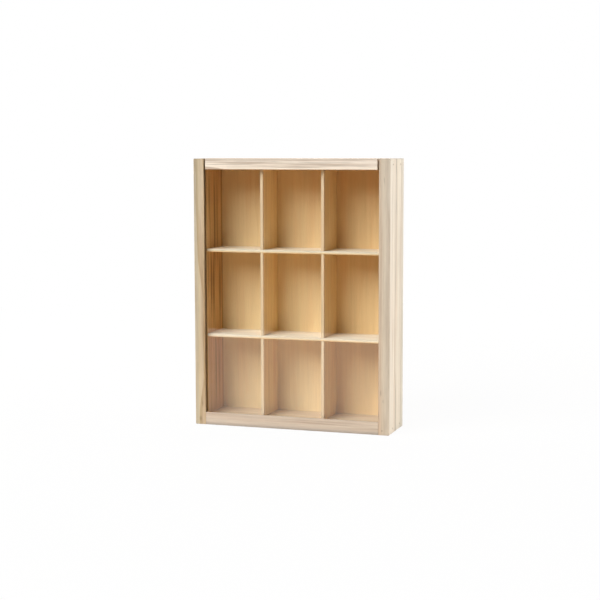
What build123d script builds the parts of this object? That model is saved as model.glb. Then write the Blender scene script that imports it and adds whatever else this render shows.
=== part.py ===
from build123d import *
import os

# Upright wooden display box with nine compartments behind a sliding glass front.
# X runs to the right, Y to the back and Z up, in millimetres. The origin is the
# centre of the footprint, on the surface that the box stands on.

# Case boards
case_width = 230.0
case_depth = 60.0
case_height = 304.0
side_thickness = 12.5
top_thickness = 12.5
floor_thickness = 11.3
lip_rise = 2.9  # front lip of the bottom board, above the floor
edge_radius = 1.0  # sanded outer corners
arris_radius = 0.5  # lightly sanded inner corners

# Glass front and the grooves that guide it
pane_thickness = 2.0
pane_face_play = 0.5  # air on each face of the pane
pane_edge_play = 0.7  # air beside the pane at the bottom of each side groove
pane_arris = 0.2
groove_setback = 3.6  # wood left in front of the grooves
side_groove_depth = 4.0
sill_groove_depth = 3.0  # below the floor of the box

# Lid rail, glued on the top edge of the pane
rail_height = 12.1
rail_back_wall = 1.9  # wood behind the pane
rail_end_gap = 1.7  # air between the rail and each side board
rail_back_gap = 0.3  # air between the rail and the top board
rail_slot_depth = 6.0
glue_line = 0.1

# Dividers, halved into each other
divider_thickness = 3.5
middle_column = 68.2  # clear width of the middle column
middle_row = 93.8  # clear height of the middle row
halving_play = 0.1

# Back panel
panel_thickness = 3.0
rebate_width = 6.0

# Brads through the side boards, and pins through the back panel
brad_diameter = 1.2
brad_length = 25.0
brad_head_diameter = 2.0
brad_head_thickness = 0.6
brad_setback = 15.0  # from the front and back of the case
pin_diameter = 1.0
pin_length = 12.0
pin_head_diameter = 1.8
pin_head_thickness = 0.5
pins_up = 4  # along each side board
pins_across = 3  # along the top board and along the bottom board
pin_end_distance = 25.0  # from the last pin of a row to the inner corner of the case
nail_play = 0.05
point_length = 0.4

# Worked-out places
inner_width = case_width - 2 * side_thickness
inner_height = case_height - floor_thickness - top_thickness
ceiling = case_height - top_thickness
front = -case_depth / 2
back = case_depth / 2
panel_front = back - panel_thickness
groove_front = front + groove_setback
pane_front = groove_front + pane_face_play
pane_back = pane_front + pane_thickness
groove_back = pane_back + pane_face_play
groove_width = groove_back - groove_front
sill_bottom = floor_thickness - sill_groove_depth
lip_height = floor_thickness + lip_rise
rail_back = pane_back + rail_back_wall
rail_bottom = case_height - rail_height
divider_front = rail_back + rail_back_gap
divider_middle = (divider_front + panel_front) / 2
column_centre = (middle_column + divider_thickness) / 2
row_middle = floor_thickness + inner_height / 2
row_centre = (middle_row + divider_thickness) / 2
shelf_heights = (row_middle + row_centre, row_middle - row_centre)
upright_places = (-column_centre, column_centre)

# Brads sit in two rows, in line with the bottom board and with the top board.
brad_places = [
    (depth, height)
    for depth in (front + brad_setback, back - brad_setback)
    for height in (floor_thickness / 2, ceiling + top_thickness / 2)
]
outer_side_plane = Plane.YZ.offset(case_width / 2)
board_end_plane = Plane.YZ.offset(inner_width / 2)

# Pins run round the back panel, over the rebates and over the two end boards.
back_plane = Plane.XZ.offset(-back)
pin_column = inner_width / 2 + rebate_width / 2
pin_rise = (inner_height - 2 * pin_end_distance) / (pins_up - 1)
pin_spread = (inner_width - 2 * pin_end_distance) / (pins_across - 1)
side_pin_places = [
    (side * pin_column, floor_thickness + pin_end_distance + index * pin_rise)
    for side in (-1, 1)
    for index in range(pins_up)
]
bottom_pin_places = [
    (-inner_width / 2 + pin_end_distance + index * pin_spread, floor_thickness / 2)
    for index in range(pins_across)
]
top_pin_places = [
    (across, ceiling + top_thickness / 2) for across, height in bottom_pin_places
]
pin_hole_radius = pin_diameter / 2 + nail_play
brad_hole_radius = brad_diameter / 2 + nail_play

os.makedirs("parts", exist_ok=True)


# Right side board: full height, with a groove for the glass near its front edge
# and a rebate for the back panel along its back edge.
with BuildPart() as right_side:
    with BuildSketch():
        with Locations(((inner_width + side_thickness) / 2, 0)):
            Rectangle(side_thickness, case_depth)
        with Locations((inner_width / 2, groove_front)):
            Rectangle(
                side_groove_depth, groove_width,
                align=(Align.MIN, Align.MIN), mode=Mode.SUBTRACT,
            )
        with Locations((inner_width / 2, panel_front)):
            Rectangle(
                rebate_width, panel_thickness,
                align=(Align.MIN, Align.MIN), mode=Mode.SUBTRACT,
            )
    extrude(amount=case_height)
    outer_face = right_side.faces().sort_by(Axis.X)[-1]
    fillet(outer_face.edges(), radius=edge_radius)
    with BuildSketch(outer_side_plane):
        with Locations(*brad_places):
            Circle(brad_hole_radius)
    extrude(amount=-brad_length, mode=Mode.SUBTRACT)
    with BuildSketch(outer_side_plane):
        with Locations(*brad_places):
            Circle(brad_head_diameter / 2 + nail_play)
    extrude(amount=-brad_head_thickness, mode=Mode.SUBTRACT)
    with BuildSketch(back_plane):
        with Locations(*side_pin_places):
            Circle(pin_hole_radius)
    extrude(amount=pin_length, mode=Mode.SUBTRACT)

# Left side board: the mirror image of the right one.
with BuildPart() as left_side:
    mirror(right_side.part, about=Plane.YZ)

# Bottom board, between the side boards: a raised lip in front of the glass, a
# groove that the glass stands in, and the floor of the lowest compartments.
with BuildPart() as bottom_board:
    with BuildSketch(Plane.YZ):
        with BuildLine():
            Polyline(
                (front, 0),
                (panel_front, 0),
                (panel_front, floor_thickness),
                (groove_back, floor_thickness),
                (groove_back, sill_bottom),
                (groove_front, sill_bottom),
                (groove_front, lip_height),
                (front, lip_height),
                close=True,
            )
        make_face()
    extrude(amount=inner_width / 2, both=True)
    front_edges = (
        bottom_board.edges().filter_by(Axis.X).group_by(Axis.Y)[0]
    )
    fillet(front_edges.sort_by(Axis.Z)[0], radius=edge_radius)
    lip_edges = (
        bottom_board.edges().filter_by(Axis.X).group_by(Axis.Z)[-1]
    )
    fillet(lip_edges, radius=arris_radius)
    with BuildSketch(board_end_plane):
        with Locations(*brad_places):
            Circle(brad_hole_radius)
    extrude(amount=side_thickness - brad_length, mode=Mode.SUBTRACT)
    mirror(about=Plane.YZ, mode=Mode.INTERSECT)
    with BuildSketch(back_plane):
        with Locations(*bottom_pin_places):
            Circle(pin_hole_radius)
    extrude(amount=pin_length, mode=Mode.SUBTRACT)

# Top board, between the side boards and behind the lid rail.
with BuildPart() as top_board:
    with BuildSketch(Plane.XY.offset(ceiling)):
        with Locations((0, divider_front)):
            Rectangle(
                inner_width, panel_front - divider_front,
                align=(Align.CENTER, Align.MIN),
            )
    extrude(amount=top_thickness)
    with BuildSketch(board_end_plane):
        with Locations(*brad_places):
            Circle(brad_hole_radius)
    extrude(amount=side_thickness - brad_length, mode=Mode.SUBTRACT)
    mirror(about=Plane.YZ, mode=Mode.INTERSECT)
    with BuildSketch(back_plane):
        with Locations(*top_pin_places):
            Circle(pin_hole_radius)
    extrude(amount=pin_length, mode=Mode.SUBTRACT)

# Plywood back panel: in the rebates of the side boards, and over the back
# edges of the top and bottom boards.
with BuildPart() as back_panel:
    with BuildSketch(back_plane):
        Rectangle(
            inner_width + 2 * rebate_width, case_height,
            align=(Align.CENTER, Align.MIN),
        )
    extrude(amount=panel_thickness)
    pin_places = side_pin_places + bottom_pin_places + top_pin_places
    with BuildSketch(back_plane):
        with Locations(*pin_places):
            Circle(pin_hole_radius)
    extrude(amount=panel_thickness, mode=Mode.SUBTRACT)
    with BuildSketch(back_plane):
        with Locations(*pin_places):
            Circle(pin_head_diameter / 2 + nail_play)
    extrude(amount=pin_head_thickness, mode=Mode.SUBTRACT)


# Shelf: a thin board across the case, slotted from the back for the uprights.
def make_shelf(height):
    with BuildPart() as shelf:
        with BuildSketch(Plane.XY.offset(height - divider_thickness / 2)):
            with Locations((0, divider_front)):
                Rectangle(
                    inner_width, panel_front - divider_front,
                    align=(Align.CENTER, Align.MIN),
                )
            with Locations(*[(place, divider_middle) for place in upright_places]):
                Rectangle(
                    divider_thickness + 2 * halving_play, panel_front - divider_middle,
                    align=(Align.CENTER, Align.MIN), mode=Mode.SUBTRACT,
                )
        extrude(amount=divider_thickness)
    return shelf


# Upright: a thin board from the floor to the top board, slotted from the front.
def make_upright(place):
    slot_end = divider_middle + halving_play
    with BuildPart() as upright:
        with BuildSketch(Plane.YZ.offset(place - divider_thickness / 2)):
            with Locations((divider_front, floor_thickness)):
                Rectangle(
                    panel_front - divider_front, inner_height,
                    align=(Align.MIN, Align.MIN),
                )
            with Locations(*[(divider_front, height) for height in shelf_heights]):
                Rectangle(
                    slot_end - divider_front, divider_thickness + 2 * halving_play,
                    align=(Align.MIN, Align.CENTER), mode=Mode.SUBTRACT,
                )
        extrude(amount=divider_thickness)
    return upright


upper_shelf = make_shelf(shelf_heights[0])
lower_shelf = make_shelf(shelf_heights[1])
left_upright = make_upright(upright_places[0])
right_upright = make_upright(upright_places[1])

# Glass pane: stands in the groove of the bottom board, runs in the grooves of
# the side boards, and ends inside the slot of the lid rail.
with BuildPart() as glass_pane:
    with BuildSketch(Plane.XY.offset(sill_bottom)):
        with Locations((0, pane_front)):
            Rectangle(
                inner_width + 2 * (side_groove_depth - pane_edge_play), pane_thickness,
                align=(Align.CENTER, Align.MIN),
            )
    extrude(amount=rail_bottom + rail_slot_depth - sill_bottom)
    chamfer(glass_pane.edges(), length=pane_arris)

# Lid rail: the grip that the glass is pulled up by, flush with the front and
# the top of the case.
with BuildPart() as lid_rail:
    with BuildSketch(Plane.YZ):
        with Locations((front, rail_bottom)):
            Rectangle(
                rail_back - front, rail_height,
                align=(Align.MIN, Align.MIN),
            )
        with Locations((pane_front - glue_line, rail_bottom)):
            Rectangle(
                pane_thickness + 2 * glue_line, rail_slot_depth,
                align=(Align.MIN, Align.MIN), mode=Mode.SUBTRACT,
            )
    extrude(amount=inner_width / 2 - rail_end_gap, both=True)
    front_face = lid_rail.faces().sort_by(Axis.Y)[0]
    fillet(front_face.edges(), radius=arris_radius)

# Brads: four through each side board, into the ends of the bottom and top boards.
with BuildPart() as right_side_brads:
    with BuildSketch(outer_side_plane):
        with Locations(*brad_places):
            Circle(brad_diameter / 2)
    extrude(amount=-brad_length)
    chamfer(
        right_side_brads.faces().group_by(Axis.X)[0].edges(), length=point_length
    )
    with BuildSketch(outer_side_plane):
        with Locations(*brad_places):
            Circle(brad_head_diameter / 2)
    extrude(amount=-brad_head_thickness)

with BuildPart() as left_side_brads:
    mirror(right_side_brads.part, about=Plane.YZ)

# Pins: a row round the back panel, with heads flush with it.
with BuildPart() as back_panel_pins:
    with BuildSketch(back_plane):
        with Locations(*pin_places):
            Circle(pin_diameter / 2)
    extrude(amount=pin_length)
    chamfer(
        back_panel_pins.faces().group_by(Axis.Y)[0].edges(), length=point_length
    )
    with BuildSketch(back_plane):
        with Locations(*pin_places):
            Circle(pin_head_diameter / 2)
    extrude(amount=pin_head_thickness)

pieces = {
    "left_side": left_side,
    "right_side": right_side,
    "bottom_board": bottom_board,
    "top_board": top_board,
    "back_panel": back_panel,
    "upper_shelf": upper_shelf,
    "lower_shelf": lower_shelf,
    "left_upright": left_upright,
    "right_upright": right_upright,
    "glass_pane": glass_pane,
    "lid_rail": lid_rail,
    "left_side_brads": left_side_brads,
    "right_side_brads": right_side_brads,
    "back_panel_pins": back_panel_pins,
}
for name, piece in pieces.items():
    piece.part.label = name
    export_step(piece.part, f"parts/{name}.step")
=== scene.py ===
import bmesh
import bpy
from math import cos, pi, radians, sin
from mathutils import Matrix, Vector, noise


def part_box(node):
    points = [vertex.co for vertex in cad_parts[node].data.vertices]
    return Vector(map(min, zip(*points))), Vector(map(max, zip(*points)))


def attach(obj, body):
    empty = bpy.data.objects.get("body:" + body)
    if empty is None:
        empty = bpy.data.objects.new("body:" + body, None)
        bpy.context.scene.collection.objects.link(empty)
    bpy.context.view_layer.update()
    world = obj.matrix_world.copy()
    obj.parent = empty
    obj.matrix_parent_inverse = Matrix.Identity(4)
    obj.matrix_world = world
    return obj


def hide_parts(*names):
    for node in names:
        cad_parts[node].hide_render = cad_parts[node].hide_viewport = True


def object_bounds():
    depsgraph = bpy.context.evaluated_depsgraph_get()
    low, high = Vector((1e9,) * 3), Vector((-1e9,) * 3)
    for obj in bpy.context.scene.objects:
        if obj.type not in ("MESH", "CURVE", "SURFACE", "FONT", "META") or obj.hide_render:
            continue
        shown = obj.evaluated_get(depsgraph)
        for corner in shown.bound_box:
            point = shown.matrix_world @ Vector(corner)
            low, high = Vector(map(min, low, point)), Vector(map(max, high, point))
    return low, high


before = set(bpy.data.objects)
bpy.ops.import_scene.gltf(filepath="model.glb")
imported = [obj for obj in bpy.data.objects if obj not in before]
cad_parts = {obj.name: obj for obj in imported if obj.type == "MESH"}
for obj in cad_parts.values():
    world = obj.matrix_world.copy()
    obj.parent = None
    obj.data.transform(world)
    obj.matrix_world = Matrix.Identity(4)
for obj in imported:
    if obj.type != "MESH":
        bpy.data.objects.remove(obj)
case_low, case_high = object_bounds()


# Camera: a little to the right of the box and just above its top, looking
# slightly down through a long lens.
camera_data = bpy.data.cameras.new("camera")
camera_data.sensor_width = 36.0
camera_data.lens = 86.24
camera_data.clip_start = 0.05
camera_data.clip_end = 50.0
camera = bpy.data.objects.new("camera", camera_data)
bpy.context.scene.collection.objects.link(camera)
camera.location = (0.51609, -1.54002, 0.31889)
look_down = 6.15
turn_left = 18.45
tilt = 0.13
camera.rotation_euler = (radians(90 - look_down), radians(tilt), radians(turn_left))
bpy.context.scene.camera = camera


# Side boards: two full-height boards of pale, straight-grained softwood, bare
# and sanded, with softened edges. Their front edges are the stiles beside the
# glass. The grain runs up the board and shows as arcs on its sawn ends.
def put(tree, kind, sockets=(), **settings):
    """Adds a node to a tree, and sets its sockets or links them to other nodes."""
    made = tree.nodes.new(kind)
    for name, value in settings.items():
        setattr(made, name, value)
    for key, value in dict(sockets).items():
        if isinstance(value, bpy.types.NodeSocket):
            tree.links.new(value, made.inputs[key])
        else:
            made.inputs[key].default_value = value
    return made


def reckon(tree, operation, *values):
    """Arithmetic on numbers or node outputs."""
    return put(tree, "ShaderNodeMath", dict(enumerate(values)), operation=operation).outputs[0]


def ease(tree, value, low, high, start=0.0, end=1.0):
    """Goes smoothly from start to end while the value goes from low to high."""
    sockets = {0: value, 1: low, 2: high, 3: start, 4: end}
    return put(tree, "ShaderNodeMapRange", sockets, interpolation_type="SMOOTHSTEP").outputs[0]


def lay(tree, share, under, over, blend="MIX"):
    """Lays one colour over another."""
    sockets = {0: share, 6: under, 7: over}
    return put(tree, "ShaderNodeMix", sockets, data_type="RGBA", blend_type=blend).outputs[2]


def speckle(tree, place, detail=2.0, roughness=0.5):
    """Soft random value from 0 to 1 at a place."""
    sockets = {"Vector": place, "Scale": 1.0, "Detail": detail, "Roughness": roughness}
    return put(tree, "ShaderNodeTexNoise", sockets).outputs["Fac"]


def paint(red, green, blue):
    """Colour on a 0 to 255 scale, as a shader socket takes it."""
    linear = []
    for level in (red / 255, green / 255, blue / 255):
        linear.append(level / 12.92 if level <= 0.04045 else ((level + 0.055) / 1.055) ** 2.4)
    return (*linear, 1.0)


def scaled(tree, place, factor):
    """A place or direction, made longer or shorter."""
    sockets = {0: place, "Scale": factor}
    return put(tree, "ShaderNodeVectorMath", sockets, operation="SCALE").outputs[0]


def new_finish(name):
    """An empty material, and its tree of nodes."""
    material = bpy.data.materials.new(name)
    material.use_nodes = True
    material.node_tree.nodes.clear()
    return material, material.node_tree


def bands(tree, value, stops):
    """Colour factors at places across a board, eased into each other."""
    low, high = stops[0][0], stops[-1][0]
    share = put(tree, "ShaderNodeMapRange", {0: value, 1: low, 2: high}).outputs[0]
    made = put(tree, "ShaderNodeValToRGB", {0: share})
    made.color_ramp.interpolation = "EASE"
    for index, (place, factor) in enumerate(stops):
        if index == 0:
            element = made.color_ramp.elements[0]
        elif index == len(stops) - 1:
            element = made.color_ramp.elements[-1]
        else:
            element = made.color_ramp.elements.new((place - low) / (high - low))
        element.color = (*factor, 1.0)
    return made.outputs[0]


def timber(
    node, along, pith, ring_width, pale, dark, seed, ring_strength=0.6, streakiness=0.5,
    side_bands=(), depth_bands=(), length_bands=(), painted_warm_shade=None, marks=(), flecks=(),
    coarseness=1.0,
):
    """Sanded bare softwood for one board, all sizes in millimetres.

    along is the axis of the grain. The two axes across it are called side (X,
    or Y for a board that lies along X) and depth (Y, or Z for such a board).
    pith is the trunk's centre, as side and depth. Bands are colour factors at
    places on one of the three axes. painted_warm_shade is a zone painted browner
    and warmer, standing in for warm shade there or warming the light it bounces
    into shade: its colour factor, and where it begins and is full, by side and by
    depth. marks are dark grain lines: depth, half width, bottom, top, strength.
    flecks are dark spots and streaks, a few of them painted shade: side, depth,
    place along the grain, radius, half length, strength.
    coarseness is how much the fibres differ from each other.
    """
    material, tree = new_finish(node + "_wood")
    where = put(tree, "ShaderNodeTexCoord").outputs
    millimetres = scaled(tree, where["Object"], 1000.0)
    x, y, z = put(tree, "ShaderNodeSeparateXYZ", {0: millimetres}).outputs
    facing = put(tree, "ShaderNodeSeparateXYZ", {0: where["Normal"]}).outputs
    low, high = (corner * 1000 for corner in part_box(node))
    side, depth, length, end_facing = x, y, z, facing[2]
    if along == "X":
        side, depth, length, end_facing = y, z, x, facing[0]

    def spot(across, lengthwise, shift=0.0):
        """Place for a random value, stretched along the grain."""
        sockets = {
            0: reckon(tree, "MULTIPLY_ADD", side, across, seed + shift),
            1: reckon(tree, "MULTIPLY", depth, across),
            2: reckon(tree, "MULTIPLY", length, lengthwise),
        }
        return put(tree, "ShaderNodeCombineXYZ", sockets).outputs[0]

    # Growth rings: distance from the pith, wandering a little along the trunk.
    wander = speckle(tree, spot(0.022, 0.0035), detail=1.0)
    ripple = speckle(tree, spot(0.15, 0.012, 7.0))
    aside = reckon(tree, "SUBTRACT", side, pith[0])
    behind = reckon(tree, "SUBTRACT", depth, pith[1])
    squared = reckon(tree, "MULTIPLY_ADD", behind, behind, reckon(tree, "MULTIPLY", aside, aside))
    radius = reckon(tree, "MULTIPLY_ADD", wander, 5.0 * ring_width, reckon(tree, "SQRT", squared))
    radius = reckon(tree, "MULTIPLY_ADD", ripple, 0.8 * ring_width, radius)
    rings = reckon(tree, "DIVIDE", radius, ring_width)
    phase = reckon(tree, "FRACT", rings)
    late = reckon(tree, "MULTIPLY", ease(tree, phase, 0.25, 0.93), ease(tree, phase, 0.995, 0.93))
    year_number = {"W": reckon(tree, "FLOOR", rings)}
    year = put(tree, "ShaderNodeTexWhiteNoise", year_number, noise_dimensions="1D").outputs[0]
    late = reckon(tree, "MULTIPLY", late, ease(tree, year, 0.0, 1.0, 0.2, 1.0))

    # Fibres, longer streaks, broad patches and fine pores.
    fibre = speckle(tree, spot(2.6, 0.05, 13.0), detail=3.0, roughness=0.65)
    streak = speckle(tree, spot(0.45, 0.006, 29.0), detail=3.0, roughness=0.6)
    patch = speckle(tree, spot(0.03, 0.011, 41.0))
    blush = speckle(tree, spot(0.09, 0.007, 47.0))
    cells = put(tree, "ShaderNodeTexVoronoi", {"Vector": spot(1.5, 0.11, 53.0), "Scale": 1.0})
    pore = ease(tree, cells.outputs["Distance"], 0.2, 0.08)
    pore = reckon(tree, "MULTIPLY", pore, ease(tree, fibre, 0.42, 0.62))

    colour = lay(tree, reckon(tree, "MULTIPLY", late, ring_strength), pale, dark)
    colour = lay(tree, ease(tree, streak, 0.48, 0.72, 0.0, streakiness), colour, dark)
    pinker = (1.0, 0.955, 0.93, 1.0)
    greyer = (0.95, 0.955, 0.95, 1.0)
    colour = lay(tree, ease(tree, blush, 0.5, 0.68, 0.0, 0.9), colour, pinker, "MULTIPLY")
    colour = lay(tree, ease(tree, blush, 0.48, 0.32, 0.0, 0.7), colour, greyer, "MULTIPLY")
    shade = ease(tree, fibre, 0.25, 0.75, 1.0 - 0.12 * coarseness, 1.0 + 0.1 * coarseness)
    shadier = ease(tree, streak, 0.3, 0.7, 1.0 + 0.04 * coarseness, 1.0 - 0.04 * coarseness)
    shade = reckon(tree, "MULTIPLY", shade, shadier)
    shade = reckon(tree, "MULTIPLY", shade, ease(tree, patch, 0.3, 0.7, 0.96, 1.03))
    shade = reckon(tree, "MULTIPLY", shade, reckon(tree, "MULTIPLY_ADD", pore, -0.13, 1.0))
    grey = put(tree, "ShaderNodeCombineColor", {0: shade, 1: shade, 2: shade}).outputs[0]
    colour = lay(tree, 1.0, colour, grey, "MULTIPLY")

    # Bands, single lines, flecks and the painted warm shade.
    bend = reckon(tree, "MULTIPLY_ADD", ripple, 2.4, -1.2)
    bent_side = reckon(tree, "ADD", side, bend)
    bent_depth = reckon(tree, "ADD", depth, bend)
    if side_bands:
        colour = lay(tree, 1.0, colour, bands(tree, bent_side, side_bands), "MULTIPLY")
    if depth_bands:
        colour = lay(tree, 1.0, colour, bands(tree, bent_depth, depth_bands), "MULTIPLY")
    if length_bands:
        colour = lay(tree, 1.0, colour, bands(tree, length, length_bands), "MULTIPLY")
    # Dark colour of the grain lines and flecks, and of the painted groove and corner shade.
    resin_and_shade = (*(0.3 * level for level in dark[:3]), 1.0)
    for place, half_width, bottom, top, strength in marks:
        away = reckon(tree, "ABSOLUTE", reckon(tree, "SUBTRACT", bent_depth, place))
        line = ease(tree, away, half_width, 0.2 * half_width, 0.0, strength)
        fade = 0.22 * (top - bottom)
        line = reckon(tree, "MULTIPLY", line, ease(tree, length, bottom, bottom + fade))
        line = reckon(tree, "MULTIPLY", line, ease(tree, length, top, top - fade))
        colour = lay(tree, line, colour, resin_and_shade)
    for side_place, depth_place, height, fleck_radius, half_length, strength in flecks:
        sockets = {
            0: reckon(tree, "DIVIDE", reckon(tree, "SUBTRACT", side, side_place), fleck_radius),
            1: reckon(tree, "DIVIDE", reckon(tree, "SUBTRACT", depth, depth_place), fleck_radius),
            2: reckon(tree, "DIVIDE", reckon(tree, "SUBTRACT", length, height), half_length),
        }
        offset = put(tree, "ShaderNodeCombineXYZ", sockets).outputs[0]
        away = put(tree, "ShaderNodeVectorMath", {0: offset}, operation="LENGTH").outputs["Value"]
        away = reckon(tree, "MULTIPLY_ADD", fibre, 0.8, reckon(tree, "SUBTRACT", away, 0.4))
        colour = lay(tree, ease(tree, away, 1.0, 0.3, 0.0, strength), colour, resin_and_shade)
    if painted_warm_shade:
        factor, side_reach, depth_reach = painted_warm_shade
        inner = ease(tree, bent_side, *side_reach)
        inner = reckon(tree, "MULTIPLY", inner, ease(tree, depth, *depth_reach))
        colour = lay(tree, inner, colour, (*factor, 1.0), "MULTIPLY")

    # Sawn ends soak up more and look darker and warmer than the faces.
    end_grain = ease(tree, reckon(tree, "ABSOLUTE", end_facing), 0.6, 0.9, 0.0, 0.5)
    colour = lay(tree, end_grain, colour, dark)

    # Edges darker and greyer, partly from handling and partly as painted shade on
    # their rounding: the middle one of the distances to the three nearest sides
    # is small only along an edge of the board.
    gaps = []
    for value, least, most in ((x, low.x, high.x), (y, low.y, high.y), (z, low.z, high.z)):
        from_centre = reckon(tree, "SUBTRACT", value, (least + most) / 2)
        from_centre = reckon(tree, "ABSOLUTE", from_centre)
        gaps.append(reckon(tree, "SUBTRACT", (most - least) / 2, from_centre))
    lesser = reckon(tree, "MINIMUM", gaps[0], gaps[1])
    greater = reckon(tree, "MAXIMUM", gaps[0], gaps[1])
    edge_gap = reckon(tree, "MAXIMUM", lesser, reckon(tree, "MINIMUM", greater, gaps[2]))
    edge_gap = reckon(tree, "MULTIPLY_ADD", streak, 1.6, edge_gap)
    wear_and_shade = ease(tree, edge_gap, 1.9, 0.8, 0.0, 0.8)
    handled_and_shaded = (0.84, 0.82, 0.80, 1.0)
    colour = lay(tree, wear_and_shade, colour, handled_and_shaded, "MULTIPLY")

    relief = reckon(tree, "MULTIPLY_ADD", late, 0.35, reckon(tree, "MULTIPLY", fibre, 0.5))
    relief = reckon(tree, "MULTIPLY_ADD", pore, -0.8, relief)
    bump = put(tree, "ShaderNodeBump", {"Height": relief, "Strength": 0.35, "Distance": 0.00012})
    gloss = reckon(tree, "MULTIPLY_ADD", fibre, 0.2, reckon(tree, "MULTIPLY_ADD", wear_and_shade, -0.08, 0.5))
    sockets = {
        "Base Color": colour,
        "Roughness": gloss,
        "Specular IOR Level": 0.35,
        "Normal": bump.outputs[0],
    }
    finish = put(tree, "ShaderNodeBsdfPrincipled", sockets)
    put(tree, "ShaderNodeOutputMaterial", {0: finish.outputs[0]})
    return material


def sanded_board(node, along, body, material, arris=0.35, wear=0.1, seed=0.0):
    """The board of a CAD node with its sharp edges rubbed round, a little unevenly.

    arris is how far the edges are rounded, and wear how much further their
    middle line is rubbed down in places, in millimetres.
    """
    low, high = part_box(node)
    grain = "XYZ".index(along)
    corner_angle = radians(50)
    shortest_edge = 0.002
    shape = bmesh.new()
    shape.from_mesh(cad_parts[node].data)
    bmesh.ops.remove_doubles(shape, verts=shape.verts, dist=1e-6)
    bmesh.ops.dissolve_limit(shape, angle_limit=radians(1), verts=shape.verts, edges=shape.edges)
    sharp = []
    for edge in shape.edges:
        long_enough = edge.calc_length() > shortest_edge
        if edge.is_convex and long_enough and edge.calc_face_angle() > corner_angle:
            sharp.append(edge)
    rubbed = shape.faces.layers.int.new("rubbed")
    rounding = bmesh.ops.bevel(
        shape, geom=sharp, offset=arris / 1000, segments=2, profile=0.5,
        affect="EDGES", clamp_overlap=True,
    )
    shape.normal_update()
    flat_face = 0.98
    for face in rounding["faces"]:
        face[rubbed] = max(abs(level) for level in face.normal) < flat_face
    bmesh.ops.triangulate(shape, faces=shape.faces)
    slice_length = 0.006
    slices = int((high[grain] - low[grain]) / slice_length)
    direction = Vector((0, 0, 0))
    direction[grain] = 1
    for index in range(1, slices):
        place = low + (high - low) * index / slices
        everything = list(shape.verts) + list(shape.edges) + list(shape.faces)
        bmesh.ops.bisect_plane(
            shape, geom=everything, dist=1e-7, plane_co=place, plane_no=direction
        )
    shape.normal_update()
    wear_across = 160
    wear_along = 45
    stretch = Vector((wear_across, wear_across, wear_across))
    stretch[grain] = wear_along
    flat_corner = 0.85
    for corner in shape.verts:
        flattest = max(abs(level) for level in corner.normal)
        if flattest < flat_corner and any(face[rubbed] for face in corner.link_faces):
            place = corner.co * stretch + Vector((seed, 0, 0))
            depth = wear / 1000 * (0.5 + 0.5 * noise.noise(place))
            corner.co -= corner.normal * max(depth, 0.0)
    shape.normal_update()
    for face in shape.faces:
        face.smooth = True
    ridge_angle = radians(12)
    for edge in shape.edges:
        slanted = all(face[rubbed] for face in edge.link_faces)
        edge.smooth = edge.calc_face_angle(0) < (corner_angle if slanted else ridge_angle)
    shape.faces.layers.int.remove(rubbed)
    mesh = bpy.data.meshes.new(node + "_sanded")
    shape.to_mesh(mesh)
    shape.free()
    if "custom_normal" in mesh.attributes:
        mesh.attributes.remove(mesh.attributes["custom_normal"])
    mesh.materials.append(material)
    piece = bpy.data.objects.new(node + "_sanded", mesh)
    bpy.context.scene.collection.objects.link(piece)
    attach(piece, body)
    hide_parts(node)


left_wood = timber(
    "left_side", "Z", pith=(-62.0, 96.0), ring_width=3.3,
    pale=paint(221, 205, 175), dark=paint(184, 156, 118), seed=3.0,
    ring_strength=0.65, streakiness=0.7,
    side_bands=[
        (-115.0, (0.78, 0.78, 0.77)), (-113.7, (0.66, 0.71, 0.77)), (-112.5, (0.69, 0.75, 0.82)),
        (-109.5, (0.77, 0.80, 0.80)), (-106.0, (0.76, 0.74, 0.76)), (-102.5, (1.0, 0.98, 0.95)),
    ],
    # From behind the glass groove, the inner face and the groove's walls are browner and warmer:
    # partly the wood's own tone, partly painted warm shade.
    painted_warm_shade=((1.0, 0.80, 0.57), (-109.0, -103.5), (-28.0, -23.0)),
    marks=[(2.9, 1.0, -60, 360, 0.2), (-13.5, 0.9, 190, 330, 0.2), (18.0, 0.8, 20, 150, 0.2)],
    flecks=[
        (-102.5, 2.9, 232.0, 3.6, 76.0, 0.7), (-102.5, -8.0, 160.0, 3.4, 52.0, 0.65),
        (-102.5, -1.4, 156.0, 3.6, 58.0, 0.7), (-102.5, -13.5, 262.0, 3.0, 40.0, 0.45),
        (-102.5, 11.0, 236.0, 3.2, 66.0, 0.5), (-102.5, 18.0, 150.0, 4.4, 60.0, 0.5),
        (-102.5, 4.0, 60.0, 3.0, 50.0, 0.4), (-102.5, -17.5, 168.0, 2.6, 44.0, 0.4),
        # The long fleck at depth 25.6 is painted shade in the rear inner corner, and the long one
        # at depth -26 is painted shadow of the glass groove.
        (-102.5, 25.6, 200.0, 3.6, 210.0, 0.45), (-102.5, 14.0, 56.0, 2.6, 42.0, 0.35),
        (-108.8, -30.0, 6.5, 2.2, 4.0, 0.4), (-106.5, -30.0, 24.0, 1.1, 5.0, 0.35),
        (-102.3, -26.0, 152.0, 5.4, 520.0, 0.92),
    ],
)
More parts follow.
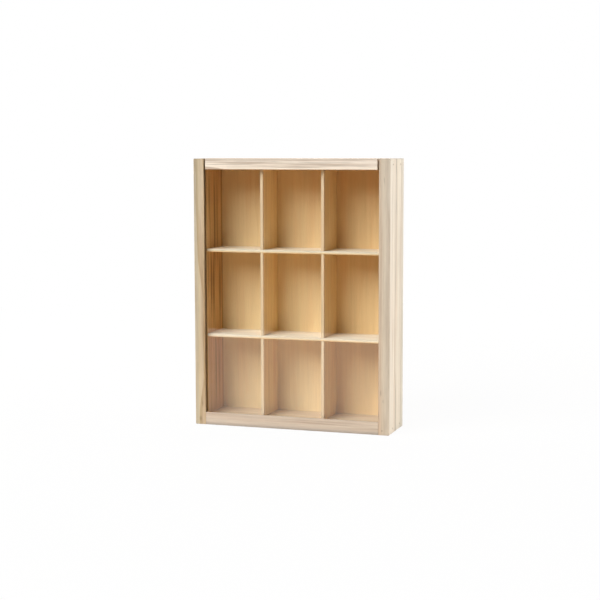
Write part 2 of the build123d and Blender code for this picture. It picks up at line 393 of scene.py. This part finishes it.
right_wood = timber(
    "right_side", "Z", pith=(58.0, 170.0), ring_width=4.6,
    pale=paint(228, 225, 215), dark=paint(196, 181, 162), seed=17.0,
    ring_strength=0.6, streakiness=0.6,
    # Across the stile's front the dip at 112.5 to 113.6, and on the side face the darker first 3 mm
    # behind the front, are painted shade of the rounded front corner.
    side_bands=[
        (102.5, (0.93, 0.84, 0.77)), (105.5, (0.91, 0.86, 0.81)), (109.0, (0.93, 0.91, 0.875)),
        (112.5, (0.87, 0.855, 0.84)), (113.6, (0.84, 0.82, 0.80)), (115.0, (1.0, 1.0, 1.0)),
    ],
    # The inner face, hidden from the front, is painted browner and warmer from behind the groove
    # back, so that the light it bounces into the case is warm.
    painted_warm_shade=((1.0, 0.76, 0.45), (106.0, 103.5), (-27.0, -22.0)),
    depth_bands=[
        (-30.0, (0.86, 0.82, 0.78)), (-28.6, (0.90, 0.87, 0.84)), (-27.0, (1.0, 1.0, 1.0)),
        (-9.0, (1.0, 0.99, 0.98)), (-3.5, (0.88, 0.86, 0.83)), (4.0, (0.96, 0.95, 0.92)),
        (14.0, (0.98, 0.97, 0.95)), (19.5, (0.87, 0.88, 0.87)), (30.0, (0.85, 0.87, 0.87)),
    ],
    marks=[
        (-3.4, 1.5, 120, 420, 0.6), (-3.0, 1.7, -60, 72, 0.55), (-6.4, 1.0, 40, 190, 0.35),
        (12.0, 0.8, 150, 340, 0.25), (19.0, 0.9, -60, 90, 0.25), (-17.0, 0.8, 40, 220, 0.15),
        (6.5, 0.7, 90, 250, 0.2), (24.0, 0.8, 60, 300, 0.2),
    ],
    flecks=[
        (105.4, -30.0, 47.0, 0.9, 5.0, 0.45), (108.0, -30.0, 38.0, 0.8, 3.0, 0.35),
        (106.8, -30.0, 5.0, 1.2, 1.3, 0.5), (108.5, -30.0, 281.0, 0.6, 5.0, 0.4),
        (115.0, -3.6, 293.0, 1.4, 9.0, 0.6), (115.0, -3.2, 252.0, 1.2, 12.0, 0.5),
    ],
)
sanded_board("left_side", "Z", "case", left_wood, seed=1.0)
sanded_board("right_side", "Z", "case", right_wood, seed=2.0)


# Bottom board: between the side boards, with a lip in front of the glass. Its
# grain runs from side to side, and it is a little pinker than the sides.
bottom_wood = timber(
    "bottom_board", "X", pith=(46.0, -58.0), ring_width=2.7,
    pale=paint(217, 202, 183), dark=paint(181, 157, 135), seed=31.0,
    ring_strength=0.65, streakiness=0.7,
    side_bands=[
        (-30.0, (0.87, 0.91, 0.96)), (-23.0, (0.89, 0.91, 0.96)), (-20.0, (1.0, 0.98, 0.92)),
        (27.0, (1.0, 0.97, 0.90)),
    ],
    # The lowest few millimetres of its front are painted darker, as shade along its lower edge
    # against the floor.
    depth_bands=[
        (0.0, (0.66, 0.67, 0.70)), (1.8, (0.74, 0.75, 0.78)), (3.6, (0.96, 0.96, 0.98)),
        (5.0, (1.0, 1.0, 1.0)), (9.0, (1.0, 1.0, 1.0)), (14.2, (1.0, 0.98, 0.97)),
    ],
)
sanded_board("bottom_board", "X", "case", bottom_wood, seed=3.0)


# Top board: the same plain stock, behind the lid rail. It closes the case and
# holds the upper ends of the two uprights.
top_wood = timber(
    "top_board", "X", pith=(-60.0, 362.0), ring_width=3.4,
    pale=paint(226, 207, 180), dark=paint(196, 170, 138), seed=43.0,
    # The underside, hidden from the front, is painted warmer so that the light it bounces into the
    # top row's shade is warm.
    depth_bands=[(291.5, (1.0, 0.73, 0.44)), (294.5, (1.0, 0.97, 0.93)), (304.0, (1.0, 1.0, 1.0))],
)
sanded_board("top_board", "X", "case", top_wood, seed=4.0)


# Back panel: thin plywood with a warm, quiet face veneer. It lies in the
# rebates of the side boards and is pinned on from behind.
panel_wood = timber(
    "back_panel", "Z", pith=(30.0, 900.0), ring_width=7.0,
    pale=paint(242, 224, 188), dark=paint(232, 205, 164), seed=59.0,
    ring_strength=0.25, streakiness=0.2, coarseness=0.4,
    depth_bands=[
        (27.0, (1.0, 0.94, 0.85)), (28.2, (1.0, 0.94, 0.85)), (28.8, (0.79, 0.83, 0.90)),
        (30.0, (0.79, 0.83, 0.90)),
    ],
    # Redder in the right column and toward the top: painted warm shade, standing in for the warmer
    # shade in those compartments.
    side_bands=[
        (-102.5, (1.0, 1.0, 0.98)), (-38.0, (1.0, 1.0, 0.97)), (-32.0, (1.0, 0.99, 0.95)),
        (30.0, (1.0, 0.99, 0.97)), (42.0, (1.0, 0.92, 0.81)), (102.5, (1.0, 0.93, 0.84)),
    ],
    length_bands=[
        (0.0, (1.0, 1.0, 1.0)), (150.0, (1.0, 1.0, 0.99)), (215.0, (0.97, 0.93, 0.88)),
        (300.0, (0.96, 0.88, 0.80)),
    ],
)
sanded_board(
    "back_panel", "Z", "case", panel_wood, arris=0.15, wear=0.04, seed=5.0
)


# Dividers: two shelves and two uprights of thin board, halved into each other
# like the web of an egg box. The grain of each runs along its length.
shelf_look = {
    "pale": paint(243, 235, 218), "dark": paint(219, 198, 168), "ring_strength": 0.55,
}
# The shelves' undersides, hidden from the front, are painted warmer so that the light they bounce
# into the compartments' shade is warm.
upper_wood = timber(
    "upper_shelf", "X", pith=(-14.0, 262.0), ring_width=2.2, seed=71.0,
    depth_bands=[(198.3, (1.0, 0.76, 0.48)), (200.2, (1.0, 0.96, 0.90)), (201.8, (1.0, 1.0, 1.0))],
    **shelf_look,
)
lower_wood = timber(
    "lower_shelf", "X", pith=(20.0, 40.0), ring_width=2.2, seed=113.0,
    depth_bands=[(101.0, (1.0, 0.78, 0.5)), (102.9, (1.0, 0.96, 0.90)), (104.5, (1.0, 1.0, 1.0))],
    **shelf_look,
)
upright_look = {
    "pale": paint(249, 223, 183), "dark": paint(233, 198, 154), "ring_strength": 0.45,
    "depth_bands": [
        (-21.7, (0.86, 0.87, 0.94)), (-19.5, (0.92, 0.92, 0.94)), (-16.0, (0.98, 0.99, 0.90)),
        (27.0, (0.98, 0.98, 0.88)),
    ],
}
# Each upright's left face, hidden from the front, is painted browner and warmer behind its front,
# so that the light it bounces into the compartments' shade is warm.
left_upright_wood = timber(
    "left_upright", "Z", pith=(-110.0, 10.0), ring_width=2.4, seed=83.0,
    painted_warm_shade=((0.97, 0.80, 0.55), (-35.4, -37.0), (-21.0, -14.0)), **upright_look
)
right_upright_wood = timber(
    "right_upright", "Z", pith=(120.0, -8.0), ring_width=2.6, seed=131.0,
    painted_warm_shade=((0.97, 0.80, 0.55), (36.3, 34.7), (-21.0, -14.0)), **upright_look
)
for divider, divider_grain, divider_wood, divider_seed in (
    ("upper_shelf", "X", upper_wood, 6.0),
    ("lower_shelf", "X", lower_wood, 7.0),
    ("left_upright", "Z", left_upright_wood, 8.0),
    ("right_upright", "Z", right_upright_wood, 9.0),
):
    sanded_board(
        divider, divider_grain, "case", divider_wood,
        arris=0.25, wear=0.07, seed=divider_seed,
    )


# Brads and pins: drawn steel wire nails with small flat heads, driven just
# below the surface. Four brads go through each side board, and a row of
# thinner pins runs round the back panel.
steel, steel_tree = new_finish("drawn_steel")
steel_place = put(steel_tree, "ShaderNodeTexCoord").outputs["Object"]
tarnish_scale = 2600.0
tarnish = speckle(steel_tree, scaled(steel_tree, steel_place, tarnish_scale), detail=3.0)
scratches = {"Height": tarnish, "Strength": 0.3, "Distance": 0.00003}
steel_finish = put(
    steel_tree, "ShaderNodeBsdfPrincipled",
    {
        "Base Color": lay(steel_tree, tarnish, paint(170, 166, 160), paint(116, 109, 101)),
        "Metallic": 1.0,
        "Roughness": reckon(steel_tree, "MULTIPLY_ADD", tarnish, 0.3, 0.25),
        "Normal": put(steel_tree, "ShaderNodeBump", scratches).outputs[0],
    },
)
put(steel_tree, "ShaderNodeOutputMaterial", {0: steel_finish.outputs[0]})

nails = bpy.data.node_groups.new("wire_nails", "GeometryNodeTree")
nail_sizes = ("Head radius", "Head thickness", "Shank radius", "Length", "Point length")
nails.interface.new_socket("Geometry", in_out="INPUT", socket_type="NodeSocketGeometry")
for size_name in nail_sizes:
    nails.interface.new_socket(size_name, in_out="INPUT", socket_type="NodeSocketFloat")
nails.interface.new_socket("Turn", in_out="INPUT", socket_type="NodeSocketVector")
nails.interface.new_socket("Sinking", in_out="INPUT", socket_type="NodeSocketVector")
nails.interface.new_socket("Geometry", in_out="OUTPUT", socket_type="NodeSocketGeometry")
given = put(nails, "NodeGroupInput").outputs

# One nail: a line of points down its axis, each with its own radius. The head
# is at height zero, with a chamfer on top and a short neck under it.
chamfer = reckon(nails, "MULTIPLY", given["Head thickness"], 0.35)
neck_end = reckon(nails, "MULTIPLY", given["Head thickness"], 1.25)
point_start = reckon(nails, "SUBTRACT", given["Length"], given["Point length"])
profile = (
    (0.0, reckon(nails, "MULTIPLY", given["Head radius"], 0.84)),
    (chamfer, given["Head radius"]),
    (given["Head thickness"], given["Head radius"]),
    (neck_end, given["Shank radius"]),
    (point_start, given["Shank radius"]),
    (given["Length"], reckon(nails, "MULTIPLY", given["Shank radius"], 0.12)),
)
index = put(nails, "GeometryNodeInputIndex").outputs[0]
depths = put(nails, "GeometryNodeIndexSwitch", {"Index": index}, data_type="FLOAT")
radii = put(nails, "GeometryNodeIndexSwitch", {"Index": index}, data_type="FLOAT")
for chooser in (depths, radii):
    while len(chooser.index_switch_items) < len(profile):
        chooser.index_switch_items.new()
for row, (profile_depth, profile_radius) in enumerate(profile):
    for chooser, value in ((depths, profile_depth), (radii, profile_radius)):
        if isinstance(value, bpy.types.NodeSocket):
            nails.links.new(value, chooser.inputs[row + 1])
        else:
            chooser.inputs[row + 1].default_value = value
down = reckon(nails, "MULTIPLY", depths.outputs[0], -1.0)
axis = put(nails, "GeometryNodeMeshLine", {"Count": len(profile)}).outputs[0]
axis_place = put(nails, "ShaderNodeCombineXYZ", {2: down}).outputs[0]
axis = put(nails, "GeometryNodeSetPosition", {"Geometry": axis, "Position": axis_place}).outputs[0]
axis = put(nails, "GeometryNodeMeshToCurve", {0: axis}).outputs[0]
round_wire = {"Resolution": 20, "Radius": 1.0}
circle = put(nails, "GeometryNodeCurvePrimitiveCircle", round_wire).outputs[0]
nail = put(
    nails, "GeometryNodeCurveToMesh",
    {"Curve": axis, "Profile Curve": circle, "Scale": radii.outputs[0], "Fill Caps": True},
).outputs[0]

# A nail at each point, each one driven to its own depth and turned its own way.
own_depth = put(nails, "FunctionNodeRandomValue", {"Seed": 5}, data_type="FLOAT").outputs[1]
sinking = scaled(nails, given["Sinking"], own_depth)
driven = put(
    nails, "GeometryNodeSetPosition", {"Geometry": given["Geometry"], "Offset": sinking}
).outputs[0]
standing = put(
    nails, "GeometryNodeInstanceOnPoints",
    {"Points": driven, "Instance": nail, "Rotation": given["Turn"]},
).outputs[0]
turns = {"Min": (0, 0, 0), "Max": (0, 0, 2 * pi), "Seed": 9}
own_turn = put(nails, "FunctionNodeRandomValue", turns, data_type="FLOAT_VECTOR").outputs[0]
turned = put(
    nails, "GeometryNodeRotateInstances", {"Instances": standing, "Rotation": own_turn}
).outputs[0]
real = put(nails, "GeometryNodeRealizeInstances", {0: turned}).outputs[0]
ready = put(nails, "GeometryNodeSetMaterial", {"Geometry": real, "Material": steel}).outputs[0]
put(nails, "NodeGroupOutput", {0: ready})
deepest_drive = 0.00025


def drive_nails(node, places, turn, inward, sizes):
    """Makes the nails of a CAD node: one at each place, pointing inward."""
    points = bpy.data.meshes.new(node + "_places")
    points.from_pydata(places, [], [])
    maker = bpy.data.objects.new(node + "_maker", points)
    bpy.context.scene.collection.objects.link(maker)
    modifier = maker.modifiers.new("nails", "NODES")
    modifier.node_group = nails
    values = {**sizes, "Turn": turn, "Sinking": inward * deepest_drive}
    for socket in nails.interface.items_tree:
        if socket.in_out == "INPUT" and socket.name in values:
            modifier[socket.identifier] = values[socket.name]
    evaluated = maker.evaluated_get(bpy.context.evaluated_depsgraph_get())
    mesh = bpy.data.meshes.new_from_object(evaluated)
    mesh.name = node + "_driven"
    bpy.data.objects.remove(maker)
    mesh.shade_smooth()
    mesh.set_sharp_from_angle(angle=radians(30))
    piece = bpy.data.objects.new(node + "_driven", mesh)
    bpy.context.scene.collection.objects.link(piece)
    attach(piece, "case")
    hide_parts(node)


brad_sizes = {
    "Head radius": 0.001, "Head thickness": 0.00035, "Shank radius": 0.0006,
    "Length": 0.0247, "Point length": 0.001,
}
brad_radius = brad_sizes["Head radius"]
for brads, outward in (("left_side_brads", -1), ("right_side_brads", 1)):
    brads_low, brads_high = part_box(brads)
    outer_face = brads_low.x if outward < 0 else brads_high.x
    brad_places = []
    for brad_depth in (brads_low.y + brad_radius, brads_high.y - brad_radius):
        for brad_height in (brads_low.z + brad_radius, brads_high.z - brad_radius):
            brad_places.append((outer_face, brad_depth, brad_height))
    brad_turn = Vector((0, outward * radians(90), 0))
    drive_nails(brads, brad_places, brad_turn, Vector((-outward, 0, 0)), brad_sizes)

pin_sizes = {
    "Head radius": 0.0009, "Head thickness": 0.00025, "Shank radius": 0.0005,
    "Length": 0.0117, "Point length": 0.0008,
}
pin_radius = pin_sizes["Head radius"]
pins_low, pins_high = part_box("back_panel_pins")
uprights_low, uprights_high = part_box("left_upright")
pin_end_distance = 0.025
pins_up = 4
pins_across = 3
lowest_pin = uprights_low.z + pin_end_distance
highest_pin = uprights_high.z - pin_end_distance
widest_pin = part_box("bottom_board")[1].x - pin_end_distance
pin_places = []
for pin_side in (pins_low.x + pin_radius, pins_high.x - pin_radius):
    for step in range(pins_up):
        pin_height = lowest_pin + (highest_pin - lowest_pin) * step / (pins_up - 1)
        pin_places.append((pin_side, pins_high.y, pin_height))
for pin_height in (pins_low.z + pin_radius, pins_high.z - pin_radius):
    for step in range(pins_across):
        pin_side = widest_pin * (2 * step / (pins_across - 1) - 1)
        pin_places.append((pin_side, pins_high.y, pin_height))
pin_turn = Vector((radians(-90), 0, 0))
drive_nails("back_panel_pins", pin_places, pin_turn, Vector((0, -1, 0)), pin_sizes)


# Glass pane: clear float glass with ground edges, faintly green through its
# thickness. It stands in the groove of the bottom board and slides up with
# the rail that is glued on its top edge.
glass, glass_tree = new_finish("clear_glass")
glass_where = put(glass_tree, "ShaderNodeTexCoord").outputs
glass_facing = put(glass_tree, "ShaderNodeSeparateXYZ", {0: glass_where["Normal"]}).outputs
frontal = reckon(glass_tree, "ABSOLUTE", glass_facing[1])
ground_edge = ease(glass_tree, frontal, 0.85, 0.6)
face_colour = (0.985, 0.995, 0.99, 1.0)
edge_colour = (0.42, 0.72, 0.62, 1.0)
clear = put(
    glass_tree, "ShaderNodeBsdfPrincipled",
    {
        "Base Color": lay(glass_tree, ground_edge, face_colour, edge_colour),
        "Roughness": reckon(glass_tree, "MULTIPLY", ground_edge, 0.35),
        "IOR": 1.52,
        "Transmission Weight": 1.0,
    },
)
green_tint = (0.96, 0.975, 0.965, 1.0)
passing = put(glass_tree, "ShaderNodeBsdfTransparent", {"Color": green_tint})
rays = put(glass_tree, "ShaderNodeLightPath").outputs
lets_light = reckon(glass_tree, "MAXIMUM", rays["Is Shadow Ray"], rays["Is Diffuse Ray"])
pane_surface = put(
    glass_tree, "ShaderNodeMixShader",
    {0: lets_light, 1: clear.outputs[0], 2: passing.outputs[0]},
)
put(glass_tree, "ShaderNodeOutputMaterial", {0: pane_surface.outputs[0]})
pane_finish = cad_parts["glass_pane"].data.materials
pane_finish.clear()
pane_finish.append(glass)


# Lid rail: the strip along the top of the glass, of pale wood with grey and
# pink streaks along it. The glass is glued into a slot in its underside.
rail_wood = timber(
    "lid_rail", "X", pith=(38.0, 268.0), ring_width=2.1,
    pale=paint(238, 230, 218), dark=paint(180, 160, 142), seed=97.0,
    ring_strength=0.8, streakiness=0.8,
    depth_bands=[
        (291.9, (1.0, 0.98, 0.94)), (294.5, (1.0, 0.99, 0.97)), (298.0, (0.97, 0.96, 0.95)),
        (300.5, (0.94, 0.93, 0.93)), (302.0, (0.90, 0.88, 0.87)), (303.2, (0.78, 0.76, 0.74)),
        (304.0, (0.86, 0.84, 0.82)),
    ],
    marks=[
        (300.8, 0.6, -70, -6, 0.4), (297.6, 0.6, -104, -36, 0.35), (299.4, 0.6, 6, 80, 0.4),
        (296.2, 0.6, 26, 96, 0.4), (301.6, 0.5, 34, 92, 0.35), (294.8, 0.5, -34, 40, 0.3),
    ],
)
sanded_board("lid_rail", "X", "lid", rail_wood, seed=10.0)


# Studio: a white floor and backdrop, a soft lamp high on the left, a panel on
# the right, two weaker panels for the far sides, and a dark card in front of
# the box that shows only in what its glass mirrors.
def sheet_of(name, corners, material):
    """A flat card of the studio."""
    mesh = bpy.data.meshes.new(name)
    mesh.from_pydata(corners, [], [tuple(range(len(corners)))])
    mesh.materials.append(material)
    made = bpy.data.objects.new(name, mesh)
    bpy.context.scene.collection.objects.link(made)
    return made


def looked_at(tree):
    """1 for rays from the camera, and for those that a mirror or glass sends on.

    It leaves out what the wood behind the pane mirrors of the room through it.
    """
    kinds = put(tree, "ShaderNodeLightPath").outputs
    sent_on = reckon(tree, "MAXIMUM", kinds["Is Glossy Ray"], kinds["Is Transmission Ray"])
    mirrored = reckon(tree, "GREATER_THAN", kinds["Glossy Depth"], 0.5)
    in_and_out = reckon(tree, "GREATER_THAN", kinds["Transmission Depth"], 2.5)
    from_inside = reckon(tree, "MULTIPLY", mirrored, in_and_out)
    sent_on = reckon(tree, "SUBTRACT", sent_on, from_inside)
    return reckon(tree, "MAXIMUM", kinds["Is Camera Ray"], sent_on)


white = (1.0, 1.0, 1.0, 1.0)
paper, paper_tree = new_finish("white_paper")
paper_place = put(paper_tree, "ShaderNodeTexCoord").outputs["Object"]
paper_away = put(paper_tree, "ShaderNodeVectorMath", {0: paper_place}, operation="LENGTH")

# The paper glows white, less so near the case, where its shadow has to show.
share_at_case = 0.955
shadow_reach = (0.4, 1.3)
paper_share = ease(paper_tree, paper_away.outputs["Value"], *shadow_reach, share_at_case, 1.0)
paper_seen = looked_at(paper_tree)
paper_bounce = (0.9, 0.72, 0.54, 1.0)
paper_white = (0.8, 0.8, 0.8, 1.0)
paper_colour = lay(paper_tree, paper_seen, paper_bounce, paper_white)
paper_matt = put(paper_tree, "ShaderNodeBsdfDiffuse", {"Color": paper_colour})
paper_glow = put(paper_tree, "ShaderNodeEmission", {"Color": white, "Strength": 1.0})
glow_share = reckon(paper_tree, "MULTIPLY", paper_seen, paper_share)
paper_surface = put(
    paper_tree, "ShaderNodeMixShader",
    {0: glow_share, 1: paper_matt.outputs[0], 2: paper_glow.outputs[0]},
)
put(paper_tree, "ShaderNodeOutputMaterial", {0: paper_surface.outputs[0]})

floor_front = -0.83
floor_back = 2.6
floor_reach = 3.0
wall_height = 3.0
sheet_of("floor", [
    (-floor_reach, floor_front, 0), (floor_reach, floor_front, 0),
    (floor_reach, floor_back, 0), (-floor_reach, floor_back, 0),
], paper)
sheet_of("backdrop", [
    (-floor_reach, floor_back, 0), (floor_reach, floor_back, 0),
    (floor_reach, floor_back, wall_height), (-floor_reach, floor_back, wall_height),
], paper)

card, card_tree = new_finish("dark_card")
card_black = (0.01, 0.01, 0.01, 1.0)
card_matt = put(card_tree, "ShaderNodeBsdfDiffuse", {"Color": card_black})
card_clear = put(card_tree, "ShaderNodeBsdfTransparent", {"Color": white})
card_rays = put(card_tree, "ShaderNodeLightPath").outputs
not_mirrored = reckon(card_tree, "LESS_THAN", card_rays["Glossy Depth"], 0.5)
card_surface = put(
    card_tree, "ShaderNodeMixShader",
    {0: not_mirrored, 1: card_matt.outputs[0], 2: card_clear.outputs[0]},
)
put(card_tree, "ShaderNodeOutputMaterial", {0: card_surface.outputs[0]})
card_front = -2.3
card_left = -3.0
card_right = 1.5
card_bottom = -0.5
card_top = 2.0
flag = sheet_of("dark_flag", [
    (card_left, card_front, card_bottom), (card_right, card_front, card_bottom),
    (card_right, card_front, card_top), (card_left, card_front, card_top),
], card)
flag.visible_camera = False
flag.visible_diffuse = False
flag.visible_shadow = False

middle = (case_low + case_high) / 2


def lamp(name, azimuth, elevation, distance, size, power):
    """A square soft lamp that faces the box. Azimuth 0 is in front, 90 to the right."""
    data = bpy.data.lights.new(name, "AREA")
    data.shape = "SQUARE"
    data.size = size
    data.energy = power
    made = bpy.data.objects.new(name, data)
    bpy.context.scene.collection.objects.link(made)
    turn, rise = radians(azimuth), radians(elevation)
    direction = Vector((cos(rise) * sin(turn), -cos(rise) * cos(turn), sin(rise)))
    made.location = middle + distance * direction
    made.rotation_euler = (-direction).to_track_quat("-Z", "Y").to_euler()


lamp("key_lamp", azimuth=-28.5, elevation=40.5, distance=4.0, size=3.0, power=202.0)
lamp("right_panel", azimuth=102, elevation=10, distance=3.0, size=2.2, power=82.0)
lamp("left_panel", azimuth=-115, elevation=12, distance=1.5, size=1.0, power=10.0)
lamp("rear_panel", azimuth=180, elevation=10, distance=1.5, size=1.0, power=7.0)

world = bpy.data.worlds.new("studio")
bpy.context.scene.world = world
world.use_nodes = True
world_tree = world.node_tree
world_tree.nodes.clear()
room_level = 0.02
room_strength = reckon(
    world_tree, "MULTIPLY_ADD", looked_at(world_tree), 1.0 - room_level, room_level
)
room = put(world_tree, "ShaderNodeBackground", {"Color": white, "Strength": room_strength})
put(world_tree, "ShaderNodeOutputWorld", {0: room.outputs[0]})
bpy.context.scene.view_settings.view_transform = "Standard"
